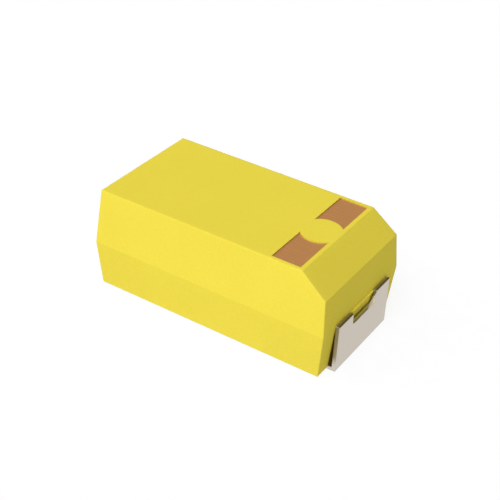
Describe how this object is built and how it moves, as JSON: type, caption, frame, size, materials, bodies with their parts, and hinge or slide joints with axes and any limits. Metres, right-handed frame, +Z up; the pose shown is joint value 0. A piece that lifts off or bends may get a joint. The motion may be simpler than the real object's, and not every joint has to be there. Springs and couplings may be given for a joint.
{
  "type": "tantalum capacitor",
  "caption": "Moulded chip tantalum capacitor: drafted epoxy block with a polarity bevel and stripe, and folded solder terminals under its ends.",
  "frame": {"origin": "on the board, under the middle of the part", "axes": "+X towards the anode end with the bevel and stripe, +Z up from the board"},
  "size_m": [0.006, 0.0032, 0.0025],
  "materials": {
    "moulded_epoxy": "golden yellow moulded epoxy, matte",
    "laser_mark": "laser-darkened epoxy, brown, matte",
    "tin_plate": "matte tin plate over lead frame strip",
    "sintered_tantalum": "pressed and sintered powder, dark with manganese dioxide",
    "tantalum_wire": "drawn wire, satin",
    "fluoropolymer": "punched from white sheet",
    "graphite": "dipped carbon coat, dull",
    "silver_paint": "dipped silver paint, dull",
    "silver_adhesive": "cured silver-filled adhesive"
  },
  "bodies": {
    "root": {"moulded_case": "moulded_epoxy", "anode_terminal": "tin_plate", "cathode_terminal": "tin_plate", "polarity_stripe": "laser_mark", "tantalum_pellet": "sintered_tantalum", "riser_wire": "tantalum_wire", "wire_washer": "fluoropolymer", "graphite_coat": "graphite", "silver_coat": "silver_paint", "silver_adhesive": "silver_adhesive"}
  },
  "joints": []
}
